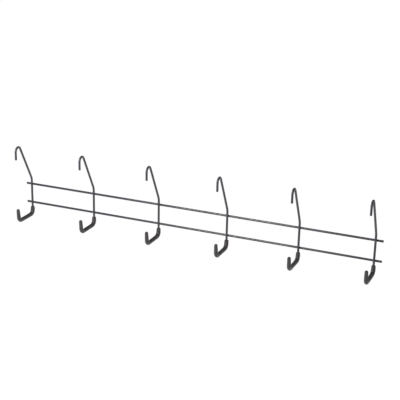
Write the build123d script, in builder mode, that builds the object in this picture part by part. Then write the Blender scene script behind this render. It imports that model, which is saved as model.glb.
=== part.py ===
from build123d import *
import os
from math import cos, radians, sin

# Long-handle tool hanger: bent wire hooks welded across two level wire rails, each with a soft sleeve
# on its tool hook. The rack hangs by its curls on a round bar.
# Lengths are in millimetres and angles in degrees. X runs along the rails, -Y is the front where the
# tools hang, and +Z is up. The origin is on the axis of the bar, halfway along the rails.

# Rails
hook_count = 6
hook_pitch = 176.0
rail_overhang = 17.0
rail_spacing = 48.5
rail_diameter = 5.3
rail_end_bevel = 0.6

# Hook wire, in the order of its bends from the tail to the tip of the tool hook
wire_diameter = 5.3
wire_end_bevel = 0.8
tail_length = 19.5
curl_inside_radius = 8.0
lean_angle = 28.0
slope_length = 96.0
shoulder_inside_radius = 21.5
shoulder_to_upper_rail = 10.0
bare_wire_below_rail = 7.6
tool_bend_inside_radius = 8.0
base_length = 43.7
tip_lean = 6.5
tip_length = 20.3

# Grip sleeve, closed at the tip of the tool hook
sleeve_wall = 2.4
sleeve_clearance = 0.05
sleeve_collar = 8.0
sleeve_lip_round = 1.6
sleeve_tip_wall = 2.5
sleeve_tip_gap = 0.2
sleeve_tip_round = 3.9

# Welds, where an upright has sunk into a rail
weld_set_down = 0.8
weld_fillet = 0.8
weld_clearance = 0.02

# Round sections and the centre lines of the bends
rail_radius = rail_diameter / 2
wire_radius = wire_diameter / 2
bore_radius = wire_radius + sleeve_clearance
sleeve_radius = bore_radius + sleeve_wall
curl_radius = curl_inside_radius + wire_radius
shoulder_radius = shoulder_inside_radius + wire_radius
tool_bend_radius = tool_bend_inside_radius + wire_radius

# Where the bends put the upright, and what lies along it
lean_cos = cos(radians(lean_angle))
lean_sin = sin(radians(lean_angle))
upright_y = curl_radius * lean_cos + slope_length * lean_sin + shoulder_radius * (1 - lean_cos)
upright_top_z = (curl_radius - shoulder_radius) * lean_sin - slope_length * lean_cos
upper_rail_z = upright_top_z - shoulder_to_upper_rail
lower_rail_z = upper_rail_z - rail_spacing
sleeve_top_z = lower_rail_z - rail_radius - bare_wire_below_rail
tool_bend_z = sleeve_top_z - sleeve_collar
rail_y = upright_y + wire_radius + rail_radius - weld_set_down

# How the hooks are spread along the rails, and how much of both wires a weld needs
hook_places = [(i - (hook_count - 1) / 2) * hook_pitch for i in range(hook_count)]
rail_length = (hook_count - 1) * hook_pitch + 2 * rail_overhang
crossing_length = 2 * (wire_diameter + rail_diameter)


def side_plane(x):
    """The plane of the hook at x: its own x axis points to the front and its own y axis points up."""
    return Plane(origin=(x, 0, 0), x_dir=(0, -1, 0), z_dir=(-1, 0, 0))


def tool_bends(upright, tip):
    """Carry a centre line on from the foot of its upright: heel, level base, toe and leaning tip."""
    heel = JernArc(upright @ 1, upright % 1, tool_bend_radius, 90)
    base = PolarLine(heel @ 1, base_length, direction=heel % 1)
    toe = JernArc(base @ 1, base % 1, tool_bend_radius, 90 - tip_lean)
    PolarLine(toe @ 1, tip, direction=toe % 1)


def bend_hook(x):
    """One wire: tail, curl over the bar, slope down to the back, shoulder, upright and tool hook."""
    with BuildPart() as hook:
        with BuildLine(side_plane(x)):
            tail = Line((curl_radius, -tail_length), (curl_radius, 0))
            curl = JernArc(tail @ 1, tail % 1, curl_radius, 180 - lean_angle)
            slope = PolarLine(curl @ 1, slope_length, direction=curl % 1)
            shoulder = JernArc(slope @ 1, slope % 1, shoulder_radius, lean_angle)
            upright = PolarLine(shoulder @ 1, upright_top_z - tool_bend_z, direction=shoulder % 1)
            tool_bends(upright, tip_length)
        with BuildSketch(Plane(origin=tail @ 0, z_dir=tail % 0)):
            Circle(wire_radius)
        sweep()
        chamfer(hook.faces().filter_by(GeomType.PLANE).edges(), wire_end_bevel)
    return hook


def mould_sleeve(x):
    """One sleeve along the tool hook: rounded lip below the lower rail, closed dome over the wire's tip."""
    with BuildPart() as sleeve:
        with BuildLine(side_plane(x)):
            collar = Line((-upright_y, sleeve_top_z), (-upright_y, tool_bend_z))
            tool_bends(collar, tip_length + sleeve_tip_gap + sleeve_tip_wall)
        with BuildSketch(Plane(origin=collar @ 0, z_dir=collar % 0)):
            Circle(sleeve_radius)
        sweep()
        ends = sleeve.faces().filter_by(GeomType.PLANE).sort_by(Axis.Y)
        fillet(ends.first.edges(), sleeve_tip_round)
        fillet(ends.last.edges(), min(sleeve_lip_round, sleeve_wall))
        with BuildLine(side_plane(x)):
            mouth = Line((-upright_y, sleeve_top_z), (-upright_y, tool_bend_z))
            tool_bends(mouth, tip_length + sleeve_tip_gap)
        with BuildSketch(Plane(origin=mouth @ 0, z_dir=mouth % 0)):
            Circle(bore_radius)
        sweep(mode=Mode.SUBTRACT)
    return sleeve


def cut_rail(z):
    """One straight rail behind the uprights, with a seat where each of them has sunk in."""
    with BuildPart() as rail:
        with BuildSketch(Plane(origin=(-rail_length / 2, rail_y, z), z_dir=(1, 0, 0))):
            Circle(rail_radius)
        extrude(amount=rail_length)
        chamfer(rail.faces().filter_by(Axis.X).edges(), rail_end_bevel)
        with Locations(*[(x, upright_y, z) for x in hook_places]):
            Cylinder(wire_radius + weld_clearance, crossing_length, mode=Mode.SUBTRACT)
    return rail


def cross_wires(x, z, clearance, mode):
    """A short length of the upright at x, and of the rail at z behind it, with a clearance all round."""
    with Locations((x, upright_y, z)):
        Cylinder(wire_radius + clearance, crossing_length, mode=mode)
    with Locations((x, rail_y, z)):
        Cylinder(rail_radius + clearance, crossing_length, rotation=(0, 90, 0), mode=mode)


def lay_weld(x, z):
    """One bead: the crease round a crossing is filled, and both wires are then taken out of it."""
    with BuildPart() as weld:
        cross_wires(x, z, 0, Mode.ADD)
        fillet(weld.edges(Select.NEW), weld_fillet)
        cross_wires(x, z, weld_clearance, Mode.SUBTRACT)
    return weld


def write_piece(piece, name):
    """Label a finished piece and write it as a node of its own."""
    piece.part.label = name
    export_step(piece.part, f"parts/{name}.step")


os.makedirs("parts", exist_ok=True)
write_piece(cut_rail(upper_rail_z), "upper_rail")
write_piece(cut_rail(lower_rail_z), "lower_rail")
for number, x in enumerate(hook_places, 1):
    write_piece(bend_hook(x), f"hook_wire_{number}")
    write_piece(mould_sleeve(x), f"grip_sleeve_{number}")
    write_piece(lay_weld(x, upper_rail_z), f"upper_weld_{number}")
    write_piece(lay_weld(x, lower_rail_z), f"lower_weld_{number}")
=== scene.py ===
"""Long-handle tool hanger: coats its wires, moulds its soft sleeves and sets up the studio."""

from math import cos, hypot, pi, radians, sin
from types import SimpleNamespace

import bpy
from mathutils import Matrix, Vector


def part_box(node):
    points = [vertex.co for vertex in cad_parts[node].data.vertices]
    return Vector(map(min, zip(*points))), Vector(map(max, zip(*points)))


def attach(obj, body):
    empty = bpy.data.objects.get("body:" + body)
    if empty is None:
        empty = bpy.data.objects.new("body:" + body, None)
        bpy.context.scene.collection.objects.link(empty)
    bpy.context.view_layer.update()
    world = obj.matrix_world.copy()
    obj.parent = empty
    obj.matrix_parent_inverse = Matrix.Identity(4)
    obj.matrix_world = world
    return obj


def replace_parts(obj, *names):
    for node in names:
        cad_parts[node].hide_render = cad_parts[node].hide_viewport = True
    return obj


bl_info = {
    "name": "Long-handle tool hanger",
    "version": (1, 0, 0),
    "blender": (4, 5, 0),
    "location": "View3D > Sidebar > Tool hanger",
    "description": "Coats the wires of a tool hanger, moulds its soft sleeves and sets up its studio",
    "category": "Object",
}

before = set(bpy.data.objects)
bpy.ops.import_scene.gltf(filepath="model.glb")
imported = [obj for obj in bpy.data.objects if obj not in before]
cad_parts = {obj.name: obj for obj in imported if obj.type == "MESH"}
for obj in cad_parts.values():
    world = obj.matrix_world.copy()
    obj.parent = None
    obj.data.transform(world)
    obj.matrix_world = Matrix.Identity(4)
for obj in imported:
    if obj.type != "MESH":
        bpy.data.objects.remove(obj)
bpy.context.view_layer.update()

# Lengths on the rack are written in millimetres, and those in the studio in metres, which is Blender's unit
MM = 0.001

# The plain CAD sleeves, which modelled ones replace, and the welds, rails and hook wires, which stay
SLEEVES = sorted(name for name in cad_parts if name.startswith("grip_sleeve_"))
WELDS = sorted(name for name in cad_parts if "_weld_" in name)
WIRES = sorted(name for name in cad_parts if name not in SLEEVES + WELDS)


def linear(code):
    """Turn an sRGB hex colour into the linear colour that shaders take, by the sRGB formula."""
    parts = [int(code[i:i + 2], 16) / 255 for i in (1, 3, 5)]
    return tuple(p / 12.92 if p <= 0.04045 else ((p + 0.055) / 1.055) ** 2.4 for p in parts)


class HangerFinish(bpy.types.PropertyGroup):
    """Colour, gloss and fine relief of the powder coat and of the vinyl"""
    coat_colour: bpy.props.FloatVectorProperty(
        name="Coat", description="Colour of the powder coat on the wires",
        subtype="COLOR", min=0, max=1, default=linear("#3C3C45"))
    thin_colour: bpy.props.FloatVectorProperty(
        name="Thin coat", description="Colour of the powder coat where it is thin over a sheared edge",
        subtype="COLOR", min=0, max=1, default=linear("#5C5C64"))
    thin_reach: bpy.props.FloatProperty(
        name="Thin reach", description="How far from a sheared edge the powder coat is thin",
        unit="LENGTH", default=0.4 * MM)
    coat_roughness: bpy.props.FloatProperty(
        name="Coat roughness", description="How far the powder coat spreads a highlight",
        subtype="FACTOR", min=0, max=1, default=0.31)
    drift_size: bpy.props.FloatProperty(
        name="Coat drift", description="Width of one cloud in the tone and gloss of the powder coat",
        unit="LENGTH", default=30 * MM)
    peel_size: bpy.props.FloatProperty(
        name="Orange peel", description="Width of one ripple in the powder coat",
        unit="LENGTH", default=1.1 * MM)
    peel_depth: bpy.props.FloatProperty(
        name="Orange peel depth", description="Height of the ripples in the powder coat",
        unit="LENGTH", default=0.035 * MM)
    vinyl_colour: bpy.props.FloatVectorProperty(
        name="Vinyl", description="Colour of the soft sleeves",
        subtype="COLOR", min=0, max=1, default=linear("#3D383C"))
    vinyl_roughness: bpy.props.FloatProperty(
        name="Vinyl roughness", description="How far the vinyl spreads a highlight",
        subtype="FACTOR", min=0, max=1, default=0.5)
    bloom_size: bpy.props.FloatProperty(
        name="Bloom", description="Width of one patch of bloom on the vinyl",
        unit="LENGTH", default=12 * MM)
    skin_size: bpy.props.FloatProperty(
        name="Skin grain", description="Width of one grain in the skin of the vinyl",
        unit="LENGTH", default=0.7 * MM)
    skin_depth: bpy.props.FloatProperty(
        name="Skin depth", description="Height of the grain in the skin of the vinyl",
        unit="LENGTH", default=0.18 * MM)
    run_size: bpy.props.FloatProperty(
        name="Runs", description="Width of one run that the wet vinyl left as it drained",
        unit="LENGTH", default=5 * MM)
    run_depth: bpy.props.FloatProperty(
        name="Run depth", description="Height of the runs in the vinyl",
        unit="LENGTH", default=1.0 * MM)


class HangerSleeve(bpy.types.PropertyGroup):
    """Sizes of one soft sleeve, from its mouth along the wire to its dome"""
    collar: bpy.props.FloatProperty(
        name="Collar", description="Straight length below the mouth of the sleeve",
        unit="LENGTH", default=8.0 * MM)
    bend_radius: bpy.props.FloatProperty(
        name="Bend radius", description="Radius of the wire's centre line at the heel and the toe",
        unit="LENGTH", default=10.65 * MM)
    base: bpy.props.FloatProperty(
        name="Base", description="Level length between the heel and the toe",
        unit="LENGTH", default=43.7 * MM)
    tip: bpy.props.FloatProperty(
        name="Tip", description="Length from the toe to the top of the dome",
        unit="LENGTH", default=23.0 * MM)
    tip_lean: bpy.props.FloatProperty(
        name="Tip lean", description="How far the tip leans forward",
        subtype="ANGLE", default=radians(6.5))
    bore: bpy.props.FloatProperty(
        name="Bore", description="Radius of the bore that grips the wire",
        unit="LENGTH", default=2.7 * MM)
    mouth: bpy.props.FloatProperty(
        name="Mouth", description="Radius of the sleeve at its mouth, where the vinyl ran thin",
        unit="LENGTH", default=4.85 * MM)
    toe: bpy.props.FloatProperty(
        name="Toe", description="Radius of the sleeve round its toe",
        unit="LENGTH", default=4.8 * MM)
    tip_end: bpy.props.FloatProperty(
        name="Tip end", description="Radius of the sleeve below its dome, where the vinyl ran thin",
        unit="LENGTH", default=4.1 * MM)
    tip_wall: bpy.props.FloatProperty(
        name="Tip wall", description="Thickness of the vinyl over the end of the wire",
        unit="LENGTH", default=2.5 * MM)
    lip_round: bpy.props.FloatProperty(
        name="Lip", description="Rounding of the mouth",
        unit="LENGTH", default=1.6 * MM)
    dome_round: bpy.props.FloatProperty(
        name="Dome", description="Rounding of the closed end",
        unit="LENGTH", default=3.4 * MM)
    bore_round: bpy.props.FloatProperty(
        name="Bore end", description="Rounding of the bore where it ends over the wire",
        unit="LENGTH", default=0.8 * MM)
    web: bpy.props.FloatProperty(
        name="Web", description="Depth of the vinyl that gathered on the inside of a bend",
        unit="LENGTH", default=0.4 * MM)


class HangerStudio(bpy.types.PropertyGroup):
    """Places and levels of the camera, the floor, the lamps and the walls"""
    aim: bpy.props.FloatVectorProperty(
        name="Aim", description="Point that the camera looks at",
        subtype="TRANSLATION", unit="LENGTH", default=(0.0185, 0.0569, -0.0712))
    distance: bpy.props.FloatProperty(
        name="Distance", description="From the camera to the aim",
        unit="LENGTH", default=2.412)
    swing: bpy.props.FloatProperty(
        name="Swing", description="How far the camera stands to the right of the front",
        subtype="ANGLE", default=radians(22.51))
    height: bpy.props.FloatProperty(
        name="Height", description="How far the camera looks down",
        subtype="ANGLE", default=radians(19.35))
    tilt: bpy.props.FloatProperty(
        name="Tilt", description="How far the picture's right side leans up",
        subtype="ANGLE", default=radians(1.31))
    lens: bpy.props.FloatProperty(
        name="Lens", description="Focal length on a 36 mm sensor",
        unit="CAMERA", default=92.6)
    drop: bpy.props.FloatProperty(
        name="Drop", description="Height of the bar that the rack hangs on above the floor",
        unit="LENGTH", default=1.5)
    key_swing: bpy.props.FloatProperty(
        name="Key swing", description="How far the softbox stands to the right of the front",
        subtype="ANGLE", default=radians(-18))
    key_height: bpy.props.FloatProperty(
        name="Key height", description="How far the softbox stands above the rack",
        subtype="ANGLE", default=radians(38))
    key_distance: bpy.props.FloatProperty(
        name="Key distance", description="From the softbox to the aim",
        unit="LENGTH", default=1.2)
    key_size: bpy.props.FloatProperty(
        name="Key size", description="Side of the square softbox",
        unit="LENGTH", default=0.4)
    key_level: bpy.props.FloatProperty(
        name="Key", description="Light from the softbox at the aim, where 1 shows a colour as it is",
        min=0, default=1.1)
    card_drop: bpy.props.FloatProperty(
        name="Card drop", description="How far the white card lies below the bar that the rack hangs on",
        unit="LENGTH", default=0.35)
    card_size: bpy.props.FloatVectorProperty(
        name="Card size", description="Width and depth of the white card",
        size=2, subtype="XYZ_LENGTH", unit="LENGTH", default=(1.2, 0.5))
    card_level: bpy.props.FloatProperty(
        name="Card", description="Brightness of the white card, where 1 is white",
        min=0, default=0.35)
    fill_level: bpy.props.FloatProperty(
        name="Fill", description="Light from the walls, where 1 shows a colour as it is",
        min=0, default=0.42)
    ceiling_level: bpy.props.FloatProperty(
        name="Ceiling", description="Brightness of the ceiling against the walls",
        subtype="FACTOR", min=0, max=1, default=0.2)
    wall_top: bpy.props.FloatProperty(
        name="Wall top", description="Height at which the white walls start to fade into the ceiling",
        subtype="ANGLE", default=radians(2))
    ceiling_edge: bpy.props.FloatProperty(
        name="Ceiling edge", description="Height at which the walls have faded into the ceiling",
        subtype="ANGLE", default=radians(20))
    floor_size: bpy.props.FloatProperty(
        name="Floor size", description="Side of the square paper floor",
        unit="LENGTH", default=60.0)
    floor_colour: bpy.props.FloatVectorProperty(
        name="Floor", description="Colour of the paper floor",
        subtype="COLOR", min=0, max=1, default=linear("#F2F2F2"))
    floor_glow: bpy.props.FloatProperty(
        name="Floor glow", description="Brightness of the floor to the eye, before the lamps add to it",
        subtype="FACTOR", min=0, max=1, default=0.985)


def add_node(tree, kind, inputs=None, **settings):
    """Add a node with its settings. An input is given a plain value, or another node's output to link."""
    node = tree.nodes.new(kind)
    for name, value in settings.items():
        setattr(node, name, value)
    for name, value in (inputs or {}).items():
        if isinstance(value, bpy.types.NodeSocket):
            tree.links.new(value, node.inputs[name])
        else:
            node.inputs[name].default_value = value
    return node


def new_material(name):
    """An empty node material, and its tree."""
    material = bpy.data.materials.new(name)
    material.use_nodes = True
    material.node_tree.nodes.clear()
    return material, material.node_tree


# Sockets of a Mix node for colours, by number because it has several of the same name
MIX_SHARE = 0
MIX_FIRST = 6
MIX_SECOND = 7
MIX_RESULT = 2

# What a noise texture hardly ever goes below or above, so that a drift in tone or gloss uses its full range
NOISE_LOW = 0.3
NOISE_HIGH = 0.7

# How many finer layers a noise texture has on top of its main one
CLOUD_DETAIL = 3.0
PEEL_DETAIL = 2.0
SKIN_DETAIL = 3.0
RUN_DETAIL = 1.0

# Darkest and palest shade of a finish against its colour, and how far its roughness drifts either way
COAT_SHADES = (0.88, 1.12)
COAT_DRIFT = 0.05
VINYL_SHADES = (0.82, 1.18)
VINYL_DRIFT = 0.1

# How far each material bends light, which sets how much of it a smooth skin mirrors
COAT_IOR = 1.5
VINYL_IOR = 1.53

# The turn of the surface at which a sheared edge starts to show in the coat, and at which it shows in full,
# and the number of rays that look for that turn
EDGE_STARTS = radians(14)
EDGE_FULL = radians(26)
EDGE_RAYS = 8

# Width of a run in the vinyl against its length
RUN_SHAPE = 0.3


def shade(colour, share):
    """A colour made darker or paler, with the opacity that a shader's socket asks for."""
    return (*(Vector(colour) * share), 1)


def powder_coat(finish, name, sheared):
    """Polyester powder, sprayed on the welded wires and baked.

    It gives a satin charcoal skin with a cold cast. A faint orange peel breaks up the highlight along a
    wire, tone and gloss drift where the spray lay thicker, and the melted powder has drawn back from the
    sheared edges, which are a little paler. A weld has no such edge, and the powder lies full in its crease.
    """
    material, tree = new_material(name)
    place = add_node(tree, "ShaderNodeTexCoord").outputs["Object"]
    cloud = add_node(tree, "ShaderNodeTexNoise", {
        "Vector": place, "Scale": 1 / finish.drift_size, "Detail": CLOUD_DETAIL})
    drift = add_node(tree, "ShaderNodeMapRange", {
        "Value": cloud.outputs["Fac"], "From Min": NOISE_LOW, "From Max": NOISE_HIGH})
    colour = add_node(tree, "ShaderNodeMix", {
        MIX_SHARE: drift.outputs["Result"],
        MIX_FIRST: shade(finish.coat_colour, COAT_SHADES[0]),
        MIX_SECOND: shade(finish.coat_colour, COAT_SHADES[1])}, data_type="RGBA")
    rough = add_node(tree, "ShaderNodeMapRange", {
        "Value": drift.outputs["Result"],
        "To Min": finish.coat_roughness - COAT_DRIFT, "To Max": finish.coat_roughness + COAT_DRIFT})

    if sheared:
        surface = add_node(tree, "ShaderNodeNewGeometry")
        softened = add_node(tree, "ShaderNodeBevel", {"Radius": finish.thin_reach}, samples=EDGE_RAYS)
        turn = add_node(tree, "ShaderNodeVectorMath", {
            0: surface.outputs["Normal"], 1: softened.outputs["Normal"]}, operation="DOT_PRODUCT")
        thin = add_node(tree, "ShaderNodeMapRange", {
            "Value": turn.outputs["Value"], "From Min": cos(EDGE_STARTS), "From Max": cos(EDGE_FULL)})
        colour = add_node(tree, "ShaderNodeMix", {
            MIX_SHARE: thin.outputs["Result"], MIX_FIRST: colour.outputs[MIX_RESULT],
            MIX_SECOND: shade(finish.thin_colour, 1)}, data_type="RGBA")

    peel = add_node(tree, "ShaderNodeTexNoise", {
        "Vector": place, "Scale": 1 / finish.peel_size, "Detail": PEEL_DETAIL})
    bump = add_node(tree, "ShaderNodeBump", {"Height": peel.outputs["Fac"], "Distance": finish.peel_depth})
    shader = add_node(tree, "ShaderNodeBsdfPrincipled", {
        "Base Color": colour.outputs[MIX_RESULT], "Roughness": rough.outputs["Result"],
        "Normal": bump.outputs["Normal"], "IOR": COAT_IOR})
    add_node(tree, "ShaderNodeOutputMaterial", {"Surface": shader.outputs["BSDF"]})
    return material


def moulded_vinyl(finish):
    """Plasticised PVC, built up in a skin on a former that was dipped in liquid vinyl.

    It gives a soft satin black, a touch warmer than the wires. A fine grain dulls the highlight, a patchy
    bloom of plasticiser shifts its tone and gloss, and slow runs, longer than wide, show where the wet vinyl
    drained. The grain and the runs are drawn deeper than they are, because they would not show otherwise.
    """
    material, tree = new_material("dip_moulded_vinyl")
    place = add_node(tree, "ShaderNodeTexCoord").outputs["Object"]
    cloud = add_node(tree, "ShaderNodeTexNoise", {
        "Vector": place, "Scale": 1 / finish.bloom_size, "Detail": CLOUD_DETAIL})
    bloom = add_node(tree, "ShaderNodeMapRange", {
        "Value": cloud.outputs["Fac"], "From Min": NOISE_LOW, "From Max": NOISE_HIGH})
    colour = add_node(tree, "ShaderNodeMix", {
        MIX_SHARE: bloom.outputs["Result"],
        MIX_FIRST: shade(finish.vinyl_colour, VINYL_SHADES[0]),
        MIX_SECOND: shade(finish.vinyl_colour, VINYL_SHADES[1])}, data_type="RGBA")
    rough = add_node(tree, "ShaderNodeMapRange", {
        "Value": bloom.outputs["Result"],
        "To Min": finish.vinyl_roughness - VINYL_DRIFT, "To Max": finish.vinyl_roughness + VINYL_DRIFT})

    drained = add_node(tree, "ShaderNodeMapping", {"Vector": place, "Scale": (1, 1, RUN_SHAPE)})
    run = add_node(tree, "ShaderNodeTexNoise", {
        "Vector": drained.outputs["Vector"], "Scale": 1 / finish.run_size, "Detail": RUN_DETAIL})
    runs = add_node(tree, "ShaderNodeBump", {"Height": run.outputs["Fac"], "Distance": finish.run_depth})
    skin = add_node(tree, "ShaderNodeTexNoise", {
        "Vector": place, "Scale": 1 / finish.skin_size, "Detail": SKIN_DETAIL})
    bump = add_node(tree, "ShaderNodeBump", {
        "Height": skin.outputs["Fac"], "Distance": finish.skin_depth, "Normal": runs.outputs["Normal"]})
    shader = add_node(tree, "ShaderNodeBsdfPrincipled", {
        "Base Color": colour.outputs[MIX_RESULT], "Roughness": rough.outputs["Result"],
        "Normal": bump.outputs["Normal"], "IOR": VINYL_IOR})
    add_node(tree, "ShaderNodeOutputMaterial", {"Surface": shader.outputs["BSDF"]})
    return material


class HANGER_OT_coat_wires(bpy.types.Operator):
    """Give the rails, hook wires and welds their powder coat"""
    bl_idname = "hanger.coat_wires"
    bl_label = "Coat wires"

    def execute(self, context):
        finish = context.scene.hanger_finish
        wire_coat = powder_coat(finish, "powder_coated_steel", sheared=True)
        weld_coat = powder_coat(finish, "powder_coated_weld", sheared=False)
        for name in WIRES:
            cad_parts[name].material_slots[0].material = wire_coat
        for name in WELDS:
            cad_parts[name].material_slots[0].material = weld_coat
        return {"FINISHED"}


# Faces round a sleeve, and steps along each stretch of it and over its rounded ends
SIDES = 24
COLLAR_STEPS = 4
BEND_STEPS = 10
BASE_STEPS = 8
TIP_STEPS = 5
DOME_STEPS = 4
LIP_STEPS = 4

# Rounds of subdivision that smooth a sleeve. They move a vertex to four sixths of its own place and a sixth
# of each neighbour's round the ring, so a ring keeps only this share of its radius
SMOOTHING = 2
RING_SHRINK = (4 + 2 * cos(2 * pi / SIDES)) / 6

# Places that are closer than this are the same
TOUCHING = 0.01 * MM


def hook_path(node, sleeve):
    """Where the stretches of a tool hook lie, from the box of its sleeve. A bend is given by its centre."""
    low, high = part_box(node)
    radius = (high.x - low.x) / 2
    outwards = Vector((0, -cos(sleeve.tip_lean), -sin(sleeve.tip_lean)))
    path = SimpleNamespace(radius=radius, toe_turn=pi / 2 - sleeve.tip_lean)
    path.heel = Vector(((low.x + high.x) / 2, high.y - radius, low.z + radius))
    path.heel += Vector((0, -sleeve.bend_radius, sleeve.bend_radius))
    path.mouth = path.heel + Vector((0, sleeve.bend_radius, sleeve.collar))
    path.base = path.heel - Vector((0, 0, sleeve.bend_radius))
    path.toe = path.heel - Vector((0, sleeve.base, 0))
    path.tip = path.toe + outwards * sleeve.bend_radius
    path.tip_way = Vector((0, outwards.z, -outwards.y))
    return path


def push(start, travel, steps, swell=1.0):
    """Extrude the open end of a tube along a straight line, and let it swell or shrink evenly on the way."""
    growth = (swell ** (1 / steps),) * 3
    for step in range(1, steps + 1):
        bpy.ops.mesh.extrude_region_move(TRANSFORM_OT_translate={"value": travel / steps})
        bpy.ops.transform.resize(value=growth, center_override=start + travel * (step / steps))


def close_dome(start, way, radius, rounding):
    """Draw the open end of a tube in over a rounded edge, and close it."""
    for step in range(1, DOME_STEPS + 1):
        turn = [pi / 2 * (step - 1) / DOME_STEPS, pi / 2 * step / DOME_STEPS]
        rise = [way * rounding * sin(angle) for angle in turn]
        reach = [radius - rounding * (1 - cos(angle)) for angle in turn]
        push(start + rise[0], rise[1] - rise[0], 1, reach[1] / reach[0])
    bpy.ops.mesh.edge_face_add()
    bpy.ops.mesh.poke()


def draw_tube(path, sleeve, radii, tip, rounding):
    """Draw a tube from the mouth down the collar, round the heel and the toe, and up to its closed end."""
    mouth, heel, toe, tip_end = [radius / RING_SHRINK for radius in radii]
    shank = path.tip_way * (tip - rounding)
    bpy.ops.mesh.primitive_circle_add(vertices=SIDES, radius=mouth, location=path.mouth, enter_editmode=True)
    push(path.mouth, Vector((0, 0, -sleeve.collar)), COLLAR_STEPS, heel / mouth)
    bpy.ops.mesh.spin(steps=BEND_STEPS, angle=pi / 2, center=path.heel, axis=(1, 0, 0))
    push(path.base, Vector((0, -sleeve.base, 0)), BASE_STEPS, toe / heel)
    bpy.ops.mesh.spin(steps=BEND_STEPS, angle=path.toe_turn, center=path.toe, axis=(1, 0, 0))
    push(path.tip, shank, TIP_STEPS, tip_end / toe)
    close_dome(path.tip + shank, path.tip_way, tip_end, rounding)


def select_vertices(piece, wanted):
    """Select the vertices whose place passes a test, and nothing else."""
    bpy.ops.mesh.select_mode(type="VERT")
    bpy.ops.mesh.select_all(action="DESELECT")
    bpy.ops.object.mode_set(mode="OBJECT")
    for vertex in piece.data.vertices:
        vertex.select = wanted(vertex.co)
    bpy.ops.object.mode_set(mode="EDIT")


def fill_bend(piece, path, sleeve, centre):
    """Raise the skin on the inside of a bend, where the wet vinyl gathered."""
    def inside(place):
        away = place - centre
        inwards = sleeve.bend_radius - hypot(away.y, away.z)
        on_skin = hypot(away.x, inwards) > (sleeve.bore + path.radius) / 2
        at_this_bend = abs(away.y) < sleeve.base / 2
        return on_skin and at_this_bend and inwards > path.radius / 2

    select_vertices(piece, inside)
    bpy.ops.transform.shrink_fatten(value=sleeve.web)


def apply_modifier(piece, kind, **settings):
    """Add a modifier with its settings, and apply it."""
    bpy.ops.object.modifier_add(type=kind)
    modifier = piece.modifiers[-1]
    for name, value in settings.items():
        setattr(modifier, name, value)
    bpy.ops.object.modifier_apply(modifier=modifier.name)


def mould_sleeve(node, sleeve):
    """Model one sleeve over its tool hook, from the mouth below the lower rail to the dome on the tip."""
    path = hook_path(node, sleeve)
    outside = (sleeve.mouth, path.radius, sleeve.toe, sleeve.tip_end)
    inside = (sleeve.bore,) * len(outside)
    bpy.ops.object.select_all(action="DESELECT")
    draw_tube(path, sleeve, outside, sleeve.tip, sleeve.dome_round)
    draw_tube(path, sleeve, inside, sleeve.tip - sleeve.tip_wall, sleeve.bore_round)
    piece = bpy.context.object
    bpy.ops.object.mode_set(mode="OBJECT")
    bpy.ops.object.transform_apply(location=True, rotation=True, scale=True)
    bpy.ops.object.mode_set(mode="EDIT")

    def on_rim(place):
        """On the outer edge of the mouth, and not on the tip, which passes the same height further away."""
        level = abs(place.z - path.mouth.z) < TOUCHING
        return level and (sleeve.bore + sleeve.mouth) / 2 < (place - path.mouth).length < sleeve.base

    # The outside is drawn in at the mouth until it meets the bore, and the two become one skin
    select_vertices(piece, on_rim)
    push(path.mouth, Vector(), 1, sleeve.bore / sleeve.mouth)
    bpy.ops.mesh.select_all(action="SELECT")
    bpy.ops.mesh.remove_doubles(threshold=TOUCHING)
    bpy.ops.mesh.normals_make_consistent(inside=False)

    fill_bend(piece, path, sleeve, path.heel)
    fill_bend(piece, path, sleeve, path.toe)
    select_vertices(piece, on_rim)
    bpy.ops.mesh.bevel(offset=sleeve.lip_round, segments=LIP_STEPS, affect="EDGES")
    bpy.ops.object.mode_set(mode="OBJECT")
    apply_modifier(piece, "SUBSURF", levels=SMOOTHING, render_levels=SMOOTHING)
    bpy.ops.object.shade_smooth()
    return piece


def copy_piece(piece, step):
    """Copy a piece with a mesh of its own, and move the copy's mesh by a step."""
    bpy.ops.object.select_all(action="DESELECT")
    piece.select_set(True)
    bpy.context.view_layer.objects.active = piece
    bpy.ops.object.duplicate(linked=False)
    bpy.ops.transform.translate(value=step)
    bpy.ops.object.transform_apply(location=True, rotation=False, scale=False)
    return bpy.context.object


class HANGER_OT_mould_sleeves(bpy.types.Operator):
    """Model one soft sleeve, and push a copy of it over every tool hook"""
    bl_idname = "hanger.mould_sleeves"
    bl_label = "Mould sleeves"

    def execute(self, context):
        first = mould_sleeve(SLEEVES[0], context.scene.hanger_sleeve)
        first.data.materials.append(moulded_vinyl(context.scene.hanger_finish))
        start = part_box(SLEEVES[0])[0]
        pieces = [first] + [copy_piece(first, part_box(node)[0] - start) for node in SLEEVES[1:]]
        for piece, node in zip(pieces, SLEEVES):
            piece.name = node.replace("grip_", "vinyl_")
            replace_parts(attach(piece, "root"), node)
        return {"FINISHED"}


# Share of the floor's paper that glows to the eye
GLOW_SHARE = 0.8

# Width of the camera's sensor in millimetres
SENSOR_WIDTH = 36


def direction(swing, height):
    """From the rack towards something that stands to the right of its front, and above it."""
    return Vector((sin(swing) * cos(height), -cos(swing) * cos(height), sin(height)))


def seen_rays(tree):
    """1 on the rays that show a thing to the eye, straight, mirrored or through glass, and 0 on the rest."""
    ray = add_node(tree, "ShaderNodeLightPath").outputs
    mirrored = add_node(tree, "ShaderNodeMath", {
        0: ray["Is Camera Ray"], 1: ray["Is Glossy Ray"]}, operation="MAXIMUM")
    return add_node(tree, "ShaderNodeMath", {
        0: mirrored.outputs[0], 1: ray["Is Transmission Ray"]}, operation="MAXIMUM").outputs[0]


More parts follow.
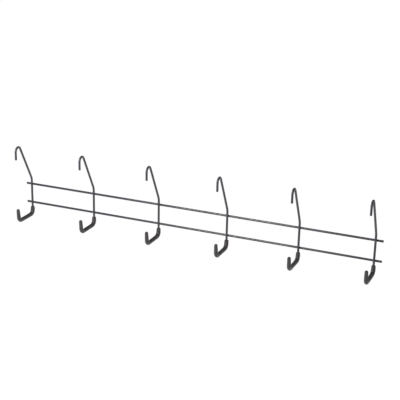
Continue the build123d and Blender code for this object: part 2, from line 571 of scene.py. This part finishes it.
class HANGER_OT_set_studio(bpy.types.Operator):
    """Lay the floor, paint the walls, set the lamps and place the camera"""
    bl_idname = "hanger.set_studio"
    bl_label = "Set studio"

    def execute(self, context):
        scene = context.scene
        studio = scene.hanger_studio
        scene.view_settings.view_transform = "Standard"
        self.lay_floor(studio)
        self.paint_walls(scene, studio)
        self.hang_lamps(studio)
        self.place_camera(scene, studio)
        return {"FINISHED"}

    def lay_floor(self, studio):
        """White paper, far below the rack. Part of it glows to the eye, and the rest keeps the shadows."""
        bpy.ops.object.select_all(action="DESELECT")
        bpy.ops.mesh.primitive_plane_add(size=studio.floor_size, location=(0, 0, -studio.drop))
        floor = bpy.context.object
        floor.name = "studio_floor"
        material, tree = new_material("white_paper_floor")
        share = add_node(tree, "ShaderNodeMapRange", {"Value": seen_rays(tree), "To Max": GLOW_SHARE})
        paper = add_node(tree, "ShaderNodeBsdfDiffuse", {"Color": (*studio.floor_colour, 1)})
        glow = add_node(tree, "ShaderNodeEmission", {"Strength": studio.floor_glow / GLOW_SHARE})
        mixed = add_node(tree, "ShaderNodeMixShader", {
            0: share.outputs["Result"], 1: paper.outputs["BSDF"], 2: glow.outputs["Emission"]})
        add_node(tree, "ShaderNodeOutputMaterial", {"Surface": mixed.outputs["Shader"]})
        floor.data.materials.append(material)

    def paint_walls(self, scene, studio):
        """White walls under a dim ceiling, which fill the shadows. The camera sees white all round."""
        world = bpy.data.worlds.new("studio_walls")
        world.use_nodes = True
        tree = world.node_tree
        tree.nodes.clear()
        ray = add_node(tree, "ShaderNodeTexCoord").outputs["Generated"]
        up = add_node(tree, "ShaderNodeSeparateXYZ", {"Vector": ray}).outputs["Z"]
        fade = add_node(tree, "ShaderNodeMapRange", {
            "Value": up, "From Min": sin(studio.wall_top), "From Max": sin(studio.ceiling_edge),
            "To Min": 1.0, "To Max": studio.ceiling_level}, interpolation_type="SMOOTHSTEP")
        level = add_node(tree, "ShaderNodeMapRange", {
            "Value": seen_rays(tree), "To Min": studio.fill_level, "To Max": 1.0})
        strength = add_node(tree, "ShaderNodeMath", {
            0: fade.outputs["Result"], 1: level.outputs["Result"]}, operation="MULTIPLY")
        white = add_node(tree, "ShaderNodeMath", {
            0: strength.outputs["Value"],
            1: add_node(tree, "ShaderNodeLightPath").outputs["Is Camera Ray"]}, operation="MAXIMUM")
        walls = add_node(tree, "ShaderNodeBackground", {
            "Strength": white.outputs["Value"], "Color": (1, 1, 1, 1)})
        add_node(tree, "ShaderNodeOutputWorld", {"Surface": walls.outputs["Background"]})
        scene.world = world

    def hang_lamps(self, studio):
        """A softbox in front, above and to the left, and a white card that lights the rack from below."""
        towards = direction(studio.key_swing, studio.key_height)
        bpy.ops.object.light_add(type="AREA", location=Vector(studio.aim) + towards * studio.key_distance)
        softbox = bpy.context.object
        softbox.name = "softbox"
        softbox.data.shape = "SQUARE"
        softbox.data.size = studio.key_size
        # A lamp gives power / (pi * distance ** 2), and a colour shows as it is under a light of pi
        softbox.data.energy = studio.key_level * pi ** 2 * studio.key_distance ** 2
        softbox.rotation_euler = towards.to_track_quat("Z", "Y").to_euler()
        bpy.ops.object.light_add(type="AREA", location=(0, 0, -studio.card_drop), rotation=(pi, 0, 0))
        card = bpy.context.object
        card.name = "white_card"
        card.data.shape = "RECTANGLE"
        card.data.size, card.data.size_y = studio.card_size
        # A lamp shows a brightness of power / (pi * area)
        card.data.energy = studio.card_level * pi * card.data.size * card.data.size_y
        card.visible_camera = False

    def place_camera(self, scene, studio):
        """Stand the camera at the photograph's viewing angle."""
        forward = -direction(studio.swing, studio.height)
        level = Vector((cos(studio.swing), sin(studio.swing), 0))
        right = Matrix.Rotation(-studio.tilt, 3, forward) @ level
        turn = Matrix((right, right.cross(forward), -forward)).transposed()
        bpy.ops.object.camera_add(location=Vector(studio.aim) - forward * studio.distance)
        camera = bpy.context.object
        camera.name = "photo_camera"
        camera.rotation_euler = turn.to_euler()
        camera.data.sensor_width = SENSOR_WIDTH
        camera.data.lens = studio.lens
        scene.camera = camera


class HANGER_PT_panel(bpy.types.Panel):
    """Lists the finishes, the sizes and the steps"""
    bl_idname = "HANGER_PT_panel"
    bl_label = "Tool hanger"
    bl_space_type = "VIEW_3D"
    bl_region_type = "UI"
    bl_category = "Tool hanger"

    def draw(self, context):
        for group in GROUPS:
            settings = getattr(context.scene, group)
            for name in settings.bl_rna.properties.keys():
                if name not in ("rna_type", "name"):
                    self.layout.prop(settings, name)
        for step in STEPS:
            self.layout.operator(step.bl_idname)


GROUPS = {"hanger_finish": HangerFinish, "hanger_sleeve": HangerSleeve, "hanger_studio": HangerStudio}
STEPS = (HANGER_OT_coat_wires, HANGER_OT_mould_sleeves, HANGER_OT_set_studio)


def register():
    for kind in (*GROUPS.values(), *STEPS, HANGER_PT_panel):
        bpy.utils.register_class(kind)
    for name, group in GROUPS.items():
        setattr(bpy.types.Scene, name, bpy.props.PointerProperty(type=group))


def unregister():
    for name in GROUPS:
        delattr(bpy.types.Scene, name)
    for kind in (HANGER_PT_panel, *STEPS, *GROUPS.values()):
        bpy.utils.unregister_class(kind)


def main():
    """Coat the wires, mould the sleeves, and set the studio."""
    register()
    bpy.ops.hanger.coat_wires()
    bpy.ops.hanger.mould_sleeves()
    bpy.ops.hanger.set_studio()


if __name__ == "__main__":
    main()
